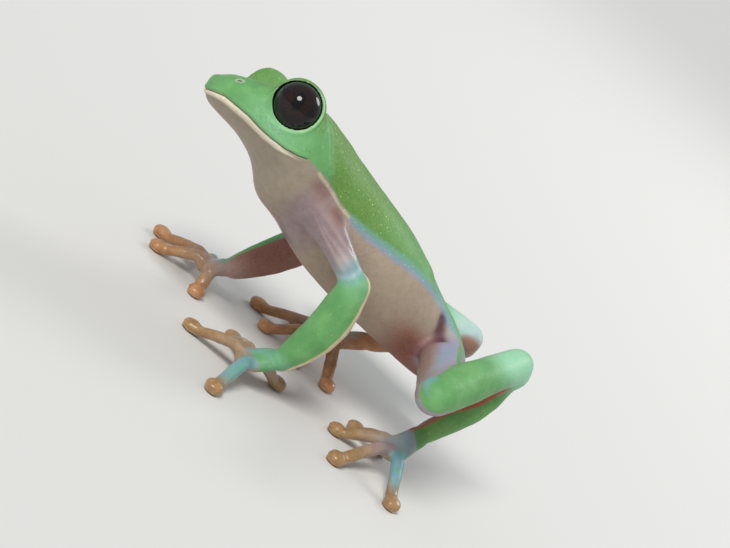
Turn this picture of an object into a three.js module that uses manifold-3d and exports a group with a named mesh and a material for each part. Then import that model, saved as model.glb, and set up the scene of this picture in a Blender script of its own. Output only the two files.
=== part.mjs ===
import * as THREE from 'three';
import { mergeVertices } from 'three/addons/utils/BufferGeometryUtils.js';
import Module from 'manifold-3d';

// A black-eyed leaf frog at life size, in millimetres, standing on all fours with its head up.
// It faces -Y, its left side is +X, and its discs stand on z = 0.
// Head and trunk are one long form split at the neck. Each leg is a chain of round-ended lengths,
// and each length is hollowed to take the round end of its neighbour.

const wasm = await Module();
wasm.setup();

// ---------------------------------------------------------------- driving dimensions

const gap = 0.3;
const neckY = -16.6;
const bodySides = 24;
const bodyRows = 31;

// The body twists a little along its length: the head leans to the frog's right more than the hips.
const headRoll = THREE.MathUtils.degToRad(18);
const hipRoll = THREE.MathUtils.degToRad(8);
const headY = -24;
const hipY = 14;

// How square the body's upper side is: 2 is an ellipse, more is squarer.
const headFullness = 3.2;
const backFullness = 2.2;
const bellyFullness = 2.0;

// Body stations: distance along the body, height of the back, height of the underside,
// half width, and the height at which the body is widest.
const bodyStations = [
  [-36.3, 31.4, 30.0, 0.8, 30.7],
  [-35.8, 32.6, 29.0, 3.2, 30.7],
  [-34.5, 33.7, 28.3, 5.1, 30.7],
  [-32.0, 34.6, 27.7, 6.9, 30.8],
  [-28.6, 35.5, 27.0, 8.5, 31.0],
  [-25.0, 36.2, 25.4, 9.6, 31.0],
  [-21.2, 36.4, 22.6, 10.0, 30.6],
  [-17.2, 35.7, 19.7, 9.3, 29.2],
  [-12.8, 34.2, 17.4, 8.6, 27.0],
  [-8.0, 32.6, 15.9, 8.5, 24.8],
  [-3.0, 31.0, 14.6, 8.7, 22.8],
  [2.2, 29.2, 13.5, 8.3, 21.0],
  [7.0, 26.9, 12.6, 7.1, 19.4],
  [11.0, 24.5, 12.0, 5.8, 18.2],
  [14.8, 22.5, 11.4, 5.0, 17.2],
  [18.4, 20.6, 11.2, 4.6, 16.2],
  [21.2, 18.5, 11.9, 3.6, 15.4],
  [22.7, 16.9, 13.2, 2.2, 15.1],
  [23.3, 15.6, 14.4, 0.6, 15.0],
];

// Each eye is a ball in a lidded socket, open as far round as eyeOpening.
const eyeRadius = 3.5;
const eyeGap = 0.25;
const lidRadius = 3.95;
const eyeOpening = 3.3;
const eyePlace = new THREE.Vector3(7.5, -26.2, 34.2);
const eyePivot = 31;
const eyeGaze = new THREE.Vector3(0.9, -0.38, 0.12).normalize();
const eyeSides = 14;
const eyeRows = 9;

// Joint centres from the body outwards, then the tips of the digits, innermost digit first.
const arms = {
  left: {
    shoulder: [6.2, -15.8, 27.2], elbow: [13.5, -5.4, 21.6], midForearm: [13.2, -4.7, 13.7],
    wrist: [12.0, -5.9, 6.5], palm: [12.2, -10.0, 3.7],
    tips: [[7.0, -2.2], [0.6, -9.6], [5.4, -17.6], [21.0, -15.4]],
  },
  right: {
    shoulder: [-6.6, -15.4, 24.4], elbow: [-12.0, -3.4, 18.4], midForearm: [-11.5, -7.2, 12.3],
    wrist: [-10.7, -11.9, 6.5], palm: [-12.8, -14.0, 3.8],
    tips: [[-8.2, -15.4], [-16.2, -21.8], [-22.6, -20.6], [-22.8, -13.0]],
  },
};
const legs = {
  left: {
    hip: [3.6, 16.6, 17.2], knee: [24.6, 9.4, 18.1], heel: [8.6, 24.8, 23.7],
    midTarsus: [10.5, 23.5, 15.8], ankle: [11.4, 19.4, 8.4], sole: [14.4, 15.6, 4.4],
    tips: [[8.0, 17.4], [5.8, 12.8], [10.4, 8.4], [20.2, 6.4], [24.0, 15.8]],
  },
  right: {
    hip: [-3.4, 16.8, 15.6], knee: [-22.2, 6.6, 14.6], heel: [-7.8, 24.2, 18.2],
    midTarsus: [-10.4, 20.2, 13.6], ankle: [-11.6, 14.2, 8.2], sole: [-12.2, 8.6, 4.4],
    tips: [[-3.5, 9.0], [-5.0, 2.6], [-11.5, -1.6], [-18.5, -2.2], [-20.6, 6.0]],
  },
};

// Radii along each length of limb, from the body outwards.
const girths = {
  upper_arm: [3.0, 2.2, 1.75],
  forearm: [2.3, 3.0, 2.8, 1.95],
  thigh: [3.3, 3.1, 2.8],
  shank: [3.0, 3.1, 2.85, 2.6],
  tarsus: [2.2, 2.1, 1.7],
};

// Half widths and half heights of the palm and the sole, from the wrist or ankle to the knuckles.
const palmWidths = [1.7, 2.3, 2.6];
const palmHeights = [1.6, 1.5, 1.2];
const soleWidths = [1.6, 1.9, 2.4];
const soleHeights = [1.6, 1.4, 1.2];

// A digit: half widths and half heights at its root, knuckle, neck and disc.
const digitWidths = [1.1, 1.1, 0.98, 1.65];
const digitHeights = [1.02, 1.0, 0.85, 1.1];
const discCentre = 0.95;
const knuckleAt = 0.45;
const knuckleLift = 1.0;
const neckAt = 0.82;
const neckHeight = 1.2;

const paint = {
  green: { color: 0x76c85c, roughness: 0.42, metalness: 0 },
  mint: { color: 0x7fd69c, roughness: 0.4, metalness: 0 },
  lilac: { color: 0xc8a6ae, roughness: 0.35, metalness: 0 },
  violet: { color: 0x9fa4d6, roughness: 0.38, metalness: 0 },
  orange: { color: 0xd7924f, roughness: 0.4, metalness: 0 },
  eye: { color: 0x170c10, roughness: 0.08, metalness: 0 },
};

// ---------------------------------------------------------------- making and joining solids

const upward = new THREE.Vector3(0, 0, 1);
const lengthwise = new THREE.Vector3(0, 1, 0);
const farAway = 100;

const vector = (p) => new THREE.Vector3(...p);

function solidOf(geometry) {
  geometry.deleteAttribute('normal');
  geometry.deleteAttribute('uv');
  const merged = mergeVertices(geometry);
  const vertProperties = merged.attributes.position.array;
  const triVerts = new Uint32Array(merged.index.array);
  return new wasm.Manifold(new wasm.Mesh({ numProp: 3, vertProperties, triVerts }));
}

function meshOf(name, solid, finish) {
  const { vertProperties, triVerts } = solid.getMesh();
  const geometry = new THREE.BufferGeometry();
  geometry.setAttribute('position', new THREE.BufferAttribute(vertProperties, 3));
  geometry.setIndex(new THREE.BufferAttribute(triVerts, 1));
  geometry.computeVertexNormals();
  const mesh = new THREE.Mesh(geometry, new THREE.MeshStandardMaterial(paint[finish]));
  mesh.name = name;
  return mesh;
}

// A closed surface over a row of rings: a sphere's net of faces, each vertex moved to its ring.
// ringAt(row, angle) gives the point at that angle round the ring of that row.
function ringed(sides, rows, ringAt) {
  const net = new THREE.SphereGeometry(1, sides, rows);
  const place = net.attributes.position;
  for (let row = 0; row <= rows; row += 1) {
    for (let side = 0; side <= sides; side += 1) {
      const angle = (side % sides) / sides * Math.PI * 2;
      const point = ringAt(row, angle);
      place.setXYZ(row * (sides + 1) + side, point.x, point.y, point.z);
    }
  }
  return solidOf(net);
}

// A round-ended length through a few centres, with a half width and a half height at each.
// The width lies at right angles to the direction given as up.
function limb(centres, widths, heights, { sides, caps, rows, up = upward, grow = 0 }) {
  const path = new THREE.CatmullRomCurve3(centres, false, 'centripetal');
  const sizes = widths.map((width, i) => new THREE.Vector3(width, heights[i], 0));
  const girth = new THREE.CatmullRomCurve3(sizes, false, 'centripetal');
  const last = rows + 2 * caps;
  return ringed(sides, last, (row, angle) => {
    const capRow = Math.max(caps - row, row - (last - caps), 0);
    const capTurn = capRow / caps * Math.PI / 2;
    const along = THREE.MathUtils.clamp((row - caps) / rows, 0, 1);
    const forward = path.getTangent(along);
    const across = forward.clone().cross(up).normalize();
    const over = across.clone().cross(forward);
    const size = girth.getPoint(along);
    const reach = (size.x + grow) * Math.sin(capTurn) * (row < caps ? -1 : 1);
    const shrink = capRow === caps ? 0 : Math.cos(capTurn);
    return path.getPoint(along)
      .addScaledVector(forward, reach)
      .addScaledVector(across, -Math.cos(angle) * (size.x + grow) * shrink)
      .addScaledVector(over, -Math.sin(angle) * (size.y + grow) * shrink);
  });
}

function ball(radius, centre) {
  const geometry = new THREE.SphereGeometry(radius, eyeSides, eyeRows);
  geometry.translate(centre.x, centre.y, centre.z);
  return solidOf(geometry);
}

function block(low, high) {
  const size = high.clone().sub(low);
  const centre = low.clone().lerp(high, 0.5);
  const geometry = new THREE.BoxGeometry(size.x, size.y, size.z);
  geometry.translate(centre.x, centre.y, centre.z);
  return solidOf(geometry);
}

// ---------------------------------------------------------------- fitting the pieces together

// Each finished piece leaves a halo, its own shape a gap larger, that later pieces keep out of.
const frog = new THREE.Group();
const halos = [];
const aboveFloor = block(new THREE.Vector3(-farAway, -farAway, 0), new THREE.Vector3(farAway, farAway, farAway));

function addPart(name, solid, finish) {
  let fitted = solid.intersect(aboveFloor);
  for (const halo of halos) {
    fitted = fitted.subtract(halo);
  }
  frog.add(meshOf(name, fitted, finish));
}

// ---------------------------------------------------------------- head, trunk and eyes

function rolled(point, pivotHeight) {
  const towardsHip = THREE.MathUtils.smoothstep(point.y, headY, hipY);
  const roll = THREE.MathUtils.lerp(headRoll, hipRoll, towardsHip);
  point.z -= pivotHeight;
  point.applyAxisAngle(lengthwise, -roll);
  point.z += pivotHeight;
  return point;
}

function bodyForm(grow) {
  const outline = new THREE.CatmullRomCurve3(bodyStations.map((s) => new THREE.Vector3(s[0], s[1], s[2])));
  const breadth = new THREE.CatmullRomCurve3(bodyStations.map((s) => new THREE.Vector3(s[0], s[3], s[4])));
  const last = bodyRows + 2;
  return ringed(bodySides, last, (row, angle) => {
    const along = THREE.MathUtils.clamp((row - 1) / bodyRows, 0, 1);
    const { x: y, y: top, z: bottom } = outline.getPoint(along);
    const { y: halfWidth, z: middle } = breadth.getPoint(along);
    if (row === 0 || row === last) {
      return rolled(new THREE.Vector3(0, row === 0 ? y - grow : y + grow, middle), middle);
    }
    const rise = -Math.sin(angle);
    const spread = -Math.cos(angle);
    const towardsBack = THREE.MathUtils.smoothstep(y, headY, neckY);
    const topFullness = THREE.MathUtils.lerp(headFullness, backFullness, towardsBack);
    const fullness = rise > 0 ? topFullness : bellyFullness;
    const reach = (Math.abs(rise) ** fullness + Math.abs(spread) ** fullness) ** (-1 / fullness);
    const halfHeight = rise > 0 ? top - middle : middle - bottom;
    const x = spread * reach * (halfWidth + grow);
    const z = middle + rise * reach * (halfHeight + grow);
    return rolled(new THREE.Vector3(x, y, z), middle);
  });
}

function eyeCentre(sign) {
  return rolled(new THREE.Vector3(sign * eyePlace.x, eyePlace.y, eyePlace.z), eyePivot);
}

// The round hole through which the eye looks out of its lids.
function eyeHole(sign) {
  const gaze = new THREE.Vector3(sign * eyeGaze.x, eyeGaze.y, eyeGaze.z).applyAxisAngle(lengthwise, -headRoll);
  const centre = eyeCentre(sign);
  const geometry = new THREE.CylinderGeometry(eyeOpening, eyeOpening, lidRadius * 2, eyeSides);
  geometry.translate(0, lidRadius, 0);
  geometry.applyQuaternion(new THREE.Quaternion().setFromUnitVectors(lengthwise, gaze));
  geometry.translate(centre.x, centre.y, centre.z);
  return solidOf(geometry);
}

const bothSides = { left: 1, right: -1 };
const body = bodyForm(0);
const beforeNeck = block(new THREE.Vector3(-farAway, -farAway, 0), new THREE.Vector3(farAway, neckY - gap / 2, farAway));
const behindNeck = block(new THREE.Vector3(-farAway, neckY + gap / 2, 0), new THREE.Vector3(farAway, farAway, farAway));
let head = body.intersect(beforeNeck);
for (const [side, sign] of Object.entries(bothSides)) {
  const centre = eyeCentre(sign);
  head = head.add(ball(lidRadius, centre)).subtract(eyeHole(sign));
  addPart(`eye_${side}`, ball(eyeRadius, centre), 'eye');
  halos.push(ball(eyeRadius + eyeGap, centre));
}
addPart('head', head, 'green');
addPart('trunk', body.intersect(behindNeck), 'green');
halos.push(bodyForm(gap));

// ---------------------------------------------------------------- legs and digits

function addLimb(name, centres, widths, heights, finish, shape) {
  addPart(name, limb(centres, widths, heights, shape), finish);
  halos.push(limb(centres, widths, heights, { ...shape, grow: gap }));
}

function addLength(name, centres, radii, finish, up = upward) {
  addLimb(name, centres, radii, radii, finish, { sides: 12, caps: 3, rows: 5, up });
}

function addPaddle(name, centres, widths, heights, finish) {
  addLimb(name, centres, widths, heights, finish, { sides: 10, caps: 2, rows: 4 });
}

// A finger or toe arches from the paddle to a round disc, which is flat where it stands.
function addDigit(name, root, tip) {
  const disc = new THREE.Vector3(tip[0], tip[1], discCentre);
  const knuckle = root.clone().lerp(disc, knuckleAt);
  knuckle.z += knuckleLift;
  const neck = root.clone().lerp(disc, neckAt);
  neck.z = neckHeight;
  addLimb(name, [root, knuckle, neck, disc], digitWidths, digitHeights, 'orange', { sides: 8, caps: 2, rows: 4 });
}

for (const [side, arm] of Object.entries(arms)) {
  const [shoulder, elbow, wrist, palm] = [arm.shoulder, arm.elbow, arm.wrist, arm.palm].map(vector);
  addLength(`forearm_${side}`, [elbow, vector(arm.midForearm), wrist], girths.forearm, 'mint', lengthwise);
  addLength(`upper_arm_${side}`, [shoulder, elbow], girths.upper_arm, 'lilac');
  addPaddle(`hand_${side}`, [wrist, palm], palmWidths, palmHeights, 'mint');
  arm.tips.forEach((tip, i) => addDigit(`finger_${i + 1}_${side}`, palm, tip));
}

for (const [side, leg] of Object.entries(legs)) {
  const [hip, knee, heel, ankle, sole] = [leg.hip, leg.knee, leg.heel, leg.ankle, leg.sole].map(vector);
  addLength(`shank_${side}`, [knee, heel], girths.shank, 'mint');
  addLength(`thigh_${side}`, [hip, knee], girths.thigh, 'violet');
  addLength(`tarsus_${side}`, [heel, vector(leg.midTarsus), ankle], girths.tarsus, 'mint', lengthwise);
  addPaddle(`foot_${side}`, [ankle, sole], soleWidths, soleHeights, 'violet');
  leg.tips.forEach((tip, i) => addDigit(`toe_${i + 1}_${side}`, sole, tip));
}

// The origin is the middle of the frog's floor space.
const extent = new THREE.Box3().setFromObject(frog);
const centre = extent.getCenter(new THREE.Vector3());
frog.position.set(-centre.x, -centre.y, 0);

export default frog;
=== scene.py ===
# %% [markdown]
# # A leaf frog in one skin
# The frame holds the frog as plain solids: head, trunk, each length of each limb, and every digit. Here it
# gets its looks. One skin is drawn over all the flesh, two eyes sit in it, and a studio is set round it.
# The lesson goes from measuring the solids, through volumes that melt them together, to folds and colours.

# %% Load the frame
import contextlib
import math
import bmesh
import bpy
import numpy as np
import openvdb
from mathutils import Matrix, Vector


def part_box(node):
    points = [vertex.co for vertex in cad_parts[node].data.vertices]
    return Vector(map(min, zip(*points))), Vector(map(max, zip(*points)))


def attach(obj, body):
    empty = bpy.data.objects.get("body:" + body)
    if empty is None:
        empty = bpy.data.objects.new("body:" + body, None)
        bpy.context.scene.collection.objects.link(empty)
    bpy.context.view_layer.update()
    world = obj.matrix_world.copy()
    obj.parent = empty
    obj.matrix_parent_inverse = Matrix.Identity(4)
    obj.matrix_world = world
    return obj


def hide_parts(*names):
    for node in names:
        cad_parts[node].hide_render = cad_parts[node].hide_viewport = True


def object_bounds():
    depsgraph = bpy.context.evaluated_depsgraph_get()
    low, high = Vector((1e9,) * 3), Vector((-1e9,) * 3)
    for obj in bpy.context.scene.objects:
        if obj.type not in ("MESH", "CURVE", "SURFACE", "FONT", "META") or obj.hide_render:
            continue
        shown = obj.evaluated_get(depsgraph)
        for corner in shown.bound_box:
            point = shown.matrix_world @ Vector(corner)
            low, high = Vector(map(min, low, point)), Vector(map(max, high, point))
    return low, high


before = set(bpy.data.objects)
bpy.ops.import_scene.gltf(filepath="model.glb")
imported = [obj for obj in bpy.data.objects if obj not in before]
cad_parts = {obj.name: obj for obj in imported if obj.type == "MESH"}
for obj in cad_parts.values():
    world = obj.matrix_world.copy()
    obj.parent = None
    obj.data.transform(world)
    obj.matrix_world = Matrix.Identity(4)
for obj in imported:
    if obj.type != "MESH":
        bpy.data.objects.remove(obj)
frame_low, frame_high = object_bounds()
mm = 0.001
flesh = sorted(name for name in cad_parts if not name.startswith("eye"))
frame_sides = [round(side / mm, 1) for side in frame_high - frame_low]
print(len(flesh), "solids of flesh in a box of", frame_sides, "mm")

# %% [markdown]
# ## Reading the solids
# A small animal is easiest to think about in millimetres, so every solid is read as an array of points in
# mm, with its triangles. Arrays let one line of code treat thousands of points at once, where a loop would
# crawl.

# %% Points and triangles of a solid


def read_threes(items, attribute, kind=np.float32):
    """Three numbers for each item of a mesh, such as the place of each point, as rows of an array."""
    values = np.empty(len(items) * 3, kind)
    items.foreach_get(attribute, values)
    return values.reshape(-1, 3)


def solid(name):
    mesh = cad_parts[name].data
    mesh.calc_loop_triangles()
    return read_threes(mesh.vertices, "co") / mm, read_threes(mesh.loop_triangles, "vertices", np.int32)


def joined(names):
    points, corners, count = [], [], 0
    for name in names:
        own_points, own_corners = solid(name)
        points.append(own_points)
        corners.append(own_corners + count)
        count += len(own_points)
    return np.concatenate(points).astype(np.float32), np.concatenate(corners).astype(np.uint32)


print("the head has", len(solid("head")[0]), "points")

# %% [markdown]
# ## Joints, from the solids themselves
# Where two solids meet, their points lie close together, so the middle of those points is the joint. A
# chain of such joints is the frog's simple skeleton. It places creases and markings, and it is never shown.

# %% Find where solids meet and where lengths end
touching = 0.9
disc_height = 0.86
resting_depth = 0.05


def meeting(first, second):
    ours, theirs = solid(first)[0], solid(second)[0]
    gaps = np.linalg.norm(ours[:, None] - theirs[None], axis=2)
    close = gaps.min(axis=0) < touching
    return theirs[close].mean(axis=0)


def disc_centre(name):
    points = solid(name)[0]
    resting = points[points[:, 2] < points[:, 2].min() + resting_depth]
    return resting.mean(axis=0) + (0, 0, disc_height)


def tube_ends(name, last):
    """The middles of a rounded length's two ends, the one nearer a given place last."""
    points = solid(name)[0]
    middle = points.mean(axis=0)
    axis = np.linalg.svd(points - middle, full_matrices=False)[2][0]
    along = (points - middle) @ axis
    radius = np.median(np.linalg.norm(points - middle - along[:, None] * axis, axis=1))
    ends = [middle + axis * (along.min() + radius), middle + axis * (along.max() - radius)]
    return sorted(ends, key=lambda end: -np.linalg.norm(end - last))


print("the left wrist is at", np.round(meeting("forearm_left", "hand_left"), 1))

# %% Chain the joints into bones
sides = {"left": 1, "right": -1}
digit_counts = {"finger": 4, "toe": 5}


def limb_bones(side, lengths, palm, digit):
    body_end = "head" if digit == "finger" else "trunk"
    names = [body_end] + [f"{length}_{side}" for length in lengths] + [f"{palm}_{side}"]
    joints = [meeting(first, second) for first, second in zip(names, names[1:])]
    bones = {name: (start, end) for name, start, end in zip(names[1:], joints, joints[1:])}
    digits = [f"{digit}_{number}_{side}" for number in range(1, digit_counts[digit] + 1)]
    roots = [meeting(names[-1], name) for name in digits]
    bones[names[-1]] = (joints[-1], np.mean(roots, axis=0))
    bones.update({name: (root, disc_centre(name)) for name, root in zip(digits, roots)})
    return bones


bones = {}
for side in sides:
    bones.update(limb_bones(side, ["upper_arm", "forearm"], "hand", "finger"))
    bones.update(limb_bones(side, ["thigh", "shank", "tarsus"], "foot", "toe"))
    thigh, shank, tarsus = (f"{length}_{side}" for length in ("thigh", "shank", "tarsus"))
    knee, heel = tube_ends(shank, last=bones[tarsus][0])
    bones.update({thigh: (bones[thigh][0], knee), shank: (knee, heel), tarsus: (heel, bones[tarsus][1])})
print(len(bones), "bones; the left knee is at", np.round(bones["shank_left"][0], 1))

# %% [markdown]
# ## The body's own measure
# The body leans to one side, more at the head than at the hips. Markings and folds follow the body, not the
# room, so each point also gets a place in the body's measure: how far along from snout to vent, how far out
# to the side, and how high above the widest line of the flank. The eyes give the lean, and slices of the
# solids give that line.

# %% Find the lean from the eyes
eye_centres = {side: np.mean(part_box(f"eye_{side}"), axis=0) / mm for side in sides}
eye_radius = (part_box("eye_left")[1].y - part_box("eye_left")[0].y) / mm / 2
between_eyes = eye_centres["left"] - eye_centres["right"]
head_lean = math.atan2(between_eyes[2], between_eyes[0])
hip_lean = head_lean / 2
eye_along = eye_centres["left"][1]
hip_along = bones["thigh_left"][0][1]
snout_along = solid("head")[0][:, 1].min()
vent_along = solid("trunk")[0][:, 1].max()
body_length = vent_along - snout_along
neck_begins = 2.0


def smooth(share):
    share = np.clip(share, 0, 1)
    return share * share * (3 - 2 * share)


def lean_at(along):
    lean_starts = eye_along + neck_begins
    return head_lean + (hip_lean - head_lean) * smooth((along - lean_starts) / (hip_along - lean_starts))


print("head leans", round(math.degrees(head_lean), 1), "degrees; body length", round(body_length, 1), "mm")

# %% Slice the body for its widest line
lid_reach = 4.8
slice_count = 60
slice_margin = 0.2


def outline_at(points, corners, along):
    side = points[:, 1] - along
    cuts = []
    for first, second in ((0, 1), (1, 2), (2, 0)):
        start, end = corners[:, first], corners[:, second]
        crossing = side[start] * side[end] < 0
        start, end = start[crossing], end[crossing]
        share = (side[start] / (side[start] - side[end]))[:, None]
        cuts.append(points[start] + (points[end] - points[start]) * share)
    return np.concatenate(cuts)


body_points, body_corners = joined(["head", "trunk"])
stations = []
for along in np.linspace(snout_along + slice_margin, vent_along - slice_margin, slice_count):
    if abs(along - eye_along) < lid_reach:
        continue
    cut = outline_at(body_points, body_corners, along)
    lean = lean_at(along)
    across = cut[:, 0] * math.cos(lean) + cut[:, 2] * math.sin(lean)
    middle = (cut[across.argmax()] + cut[across.argmin()]) / 2
    stations.append((along, middle[0], middle[2]))
stations = np.array(stations)
print(len(stations), "slices, with none through the lids")

# %% Give any point its place in the body's measure


def body_measure(points):
    along = points[:, 1]
    lean = lean_at(along)
    across = points[:, 0] - np.interp(along, stations[:, 0], stations[:, 1])
    above = points[:, 2] - np.interp(along, stations[:, 0], stations[:, 2])
    share = (along - snout_along) / body_length
    out = across * np.cos(lean) + above * np.sin(lean)
    height = above * np.cos(lean) - across * np.sin(lean)
    return share, out, height


def room_place(share, out, height):
    along = snout_along + share * body_length
    lean = lean_at(along)
    x = np.interp(along, stations[:, 0], stations[:, 1]) + out * np.cos(lean) - height * np.sin(lean)
    z = np.interp(along, stations[:, 0], stations[:, 2]) + out * np.sin(lean) + height * np.cos(lean)
    return np.stack([x, np.broadcast_to(along, np.shape(x)), z], axis=-1)


eye_place = np.ravel(body_measure(eye_centres["left"][None]))
print("the left eye in the body's measure:", np.round(eye_place, 2))

# %% [markdown]
# ## Flesh as a volume
# Skin has no seams, but the solids have thin gaps at their joints. A volume closes them: each place in a
# block of small cells stores its distance to the nearest surface, less than nothing inside. Swelling the
# surface by half a millimetre and drawing it back heals the gaps and leaves the outside where it was.
# Sculpting the seams by hand would be slower, and would be lost each time that a solid changed.

# %% Lay out the cells
cell = 0.2
reach = 2.4
spare_cells = 3
spacing = openvdb.createLinearTransform(voxelSize=cell)
block_low = np.array(frame_low) / mm - reach
block_high = np.array(frame_high) / mm + reach
first_cell = np.floor(block_low / cell).astype(int)
cell_counts = np.ceil(block_high / cell).astype(int) - first_cell + 1
corner_cell = tuple(int(number) for number in first_cell)
print("a block of", tuple(cell_counts), "cells")

# %% Heal the gaps


def distance_grid(points, far, **faces):
    make = openvdb.FloatGrid.createLevelSetFromPolygons
    return make(points, transform=spacing, halfWidth=far / cell, **faces)


def healed(names, radius):
    points, corners = joined(names)
    swollen = distance_grid(points, radius + spare_cells * cell, triangles=corners)
    shell, quads = swollen.convertToQuads(isovalue=radius)
    grown = distance_grid(shell, radius + reach, quads=quads)
    values = np.empty(tuple(cell_counts), np.float32)
    grown.copyToArray(values, ijk=corner_cell)
    return values + np.float32(radius)


def starting_with(*beginnings):
    return [name for name in flesh if name.startswith(beginnings)]


heal_radius = 0.5
body_flesh = healed(["head", "trunk", "eye_left", "eye_right"], heal_radius)
limb_flesh = healed(starting_with("upper_arm", "forearm", "thigh", "shank", "tarsus"), heal_radius)
digit_flesh = healed(starting_with("hand", "foot", "finger", "toe"), heal_radius)
print("flesh fills", round(float((body_flesh < 0).sum() * cell**3)), "cubic mm of head and trunk")

# %% [markdown]
# ## Pads under the heels
# A frog's heel is a soft pad below the end of the shank, and the solids end in a plain round there. A ball
# melted onto each heel fills it out. Only the cells round the heel are touched, which keeps this quick.

# %% Melt a pad onto each heel
heel_pads = {"left": ((0.7, 0.8, -1.2), 1.9), "right": ((-0.95, 1.1, -1.6), 2.05)}
pad_melt = 0.8


def melt(first, second, width):
    share = np.clip(0.5 + 0.5 * (second - first) / width, 0, 1)
    return second + (first - second) * share - width * share * (1 - share)


def cells_round(centre, reach):
    """The block of cells round a place, and where each of those cells lies."""
    low = np.maximum(np.floor((centre - reach) / cell).astype(int) - first_cell, 0)
    high = np.minimum(np.ceil((centre + reach) / cell).astype(int) - first_cell, cell_counts)
    axes = [(np.arange(a, b) + start) * cell for a, b, start in zip(low, high, first_cell)]
    return tuple(slice(a, b) for a, b in zip(low, high)), np.stack(np.meshgrid(*axes, indexing="ij"), axis=-1)


for side, (offset, pad_radius) in heel_pads.items():
    centre = bones[f"tarsus_{side}"][0] + offset
    window, places = cells_round(centre, pad_radius + reach)
    pad = np.linalg.norm(places - centre, axis=-1) - pad_radius
    limb_flesh[window] = melt(limb_flesh[window], pad, pad_melt)
print("pads of", [pad_radius for offset, pad_radius in heel_pads.values()], "mm")

# %% [markdown]
# ## Melting limbs into the body
# At a shoulder the skin runs from chest to arm in one sweep. A smooth minimum of two distances gives that
# sweep: far from the join it picks the nearer surface, and near it the two melt over a chosen width. Then a
# blur takes off the flat faces of the solids, most on the broad body and least on the thin digits.

# %% Join and soften
blur_reach = 2.6


def carve(first, second, width):
    return -melt(-first, -second, width)


def shifted(axis, step, length):
    moved = slice(max(0, step), length + min(0, step))
    return tuple(moved if k == axis else slice(None) for k in range(3))


def softened(values, radius):
    steps = int(math.ceil(blur_reach * radius / cell))
    offsets = np.arange(-steps, steps + 1)
    weights = np.exp(-0.5 * (offsets * cell / radius) ** 2)
    weights /= weights.sum()
    for axis in range(3):
        blurred = np.zeros_like(values)
        length = values.shape[axis]
        for step, weight in zip(offsets, weights):
            moved = values[shifted(axis, step, length)]
            blurred[shifted(axis, -step, length)] += np.float32(weight) * moved
        values = blurred
    return values


shoulder_melt, wrist_melt = 1.5, 0.6
blurs = {"digits": 0.22, "limbs": 0.42, "body": 0.75}
limbs_from, limbs_over = 0.2, 1.2
body_from, body_over = 0.4, 1.8
all_flesh = melt(melt(body_flesh, limb_flesh, shoulder_melt), digit_flesh, wrist_melt)
fine, medium, broad = (softened(all_flesh, radius) for radius in blurs.values())
limb_share = smooth((digit_flesh - limbs_from) / limbs_over)
body_share = smooth((np.minimum(limb_flesh, digit_flesh) - body_from) / body_over)
flesh_field = fine + (medium - fine) * limb_share
flesh_field += (broad - flesh_field) * body_share
print("softened", flesh_field.size, "cells")

# %% [markdown]
# ## Lids
# A leaf frog's eye bulges from the side of its head with the lids as a thin rim round it. The rim has to
# follow the ball exactly, so it isn't left to the blur: a ball of flesh is melted onto the head, a ring
# onto that, and then the eye's own room and a cone of view are carved out.

# %% Add the lids and carve the eye rooms
gaze_out, gaze_ahead, gaze_up = 0.9, 0.38, 0.12
lid_ball = 0.3
rim_angle = math.radians(73)
rim_thickness = 0.24
eye_room = 0.06


def gaze_of(side):
    gaze = np.array([sides[side] * gaze_out, -gaze_ahead, gaze_up])
    gaze /= np.linalg.norm(gaze)
    turn = Matrix.Rotation(-head_lean, 3, "Y")
    return np.array(turn @ Vector(gaze))


def eye_measure(points, side):
    away = points - eye_centres[side]
    gaze = gaze_of(side)
    far = np.linalg.norm(away, axis=-1)
    ahead = away @ gaze
    beside = np.sqrt(np.maximum(far * far - ahead * ahead, 0))
    return far, ahead, beside


def rim_distance(ahead, beside):
    rim_radius = eye_radius + rim_thickness * 0.5
    return np.hypot(beside - rim_radius * math.sin(rim_angle), ahead - rim_radius * math.cos(rim_angle))


lid_window = 7.0
lid_melt, rim_melt, carve_melt = 0.9, 0.3, 0.18
for side in sides:
    window, places = cells_round(eye_centres[side], lid_window)
    far, ahead, beside = eye_measure(places, side)
    lidded = melt(flesh_field[window], far - eye_radius - lid_ball, lid_melt)
    lidded = melt(lidded, rim_distance(ahead, beside) - rim_thickness, rim_melt)
    room = far - eye_radius - eye_room
    view = beside * math.cos(rim_angle) - ahead * math.sin(rim_angle)
    lidded = carve(lidded, -np.minimum(room, np.maximum(view, far - lid_window)), carve_melt)
    flesh_field[window] = lidded
print("eye radius", round(eye_radius, 2), "mm; left gaze", np.round(gaze_of("left"), 2))

# %% [markdown]
# ## From volume to mesh
# The surface is drawn where the distance is nothing, as small quads of one size. A quad mesh shades
# smoothly and divides evenly, so the head, which is looked at most, can be given finer faces for its mouth,
# nostrils and lids.

# %% Draw the surface
skin_grid = openvdb.FloatGrid(reach)
skin_grid.transform = spacing
skin_grid.copyFromArray(flesh_field, ijk=corner_cell)
skin_points, skin_quads = skin_grid.convertToQuads(isovalue=0)


def signed_volume(points, quads):
    a, b, c, d = (points[quads[:, k]].astype(float) for k in range(4))
    boxes = [np.einsum("ij,ij->i", a, np.cross(first, second)) for first, second in ((b, c), (c, d))]
    return sum(boxes).sum() / 6


if signed_volume(skin_points, skin_quads) < 0:
    skin_quads = skin_quads[:, ::-1]
skin_mesh = bpy.data.meshes.new("skin")
skin_mesh.from_pydata(skin_points.tolist(), [], skin_quads.tolist())
print(len(skin_points), "points in the skin")

# %% Keep the largest connected piece only


@contextlib.contextmanager
def editing(mesh):
    """Opens a mesh for editing, and writes it back afterwards."""
    bm = bmesh.new()
    bm.from_mesh(mesh)
    yield bm
    bm.to_mesh(mesh)
    bm.free()


def island_from(vertex, unseen):
    stack, island = [vertex], [vertex]
    while stack:
        for edge in stack.pop().link_edges:
            fresh = unseen.intersection(edge.verts)
            unseen -= fresh
            stack.extend(fresh)
            island.extend(fresh)
    return island


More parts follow.
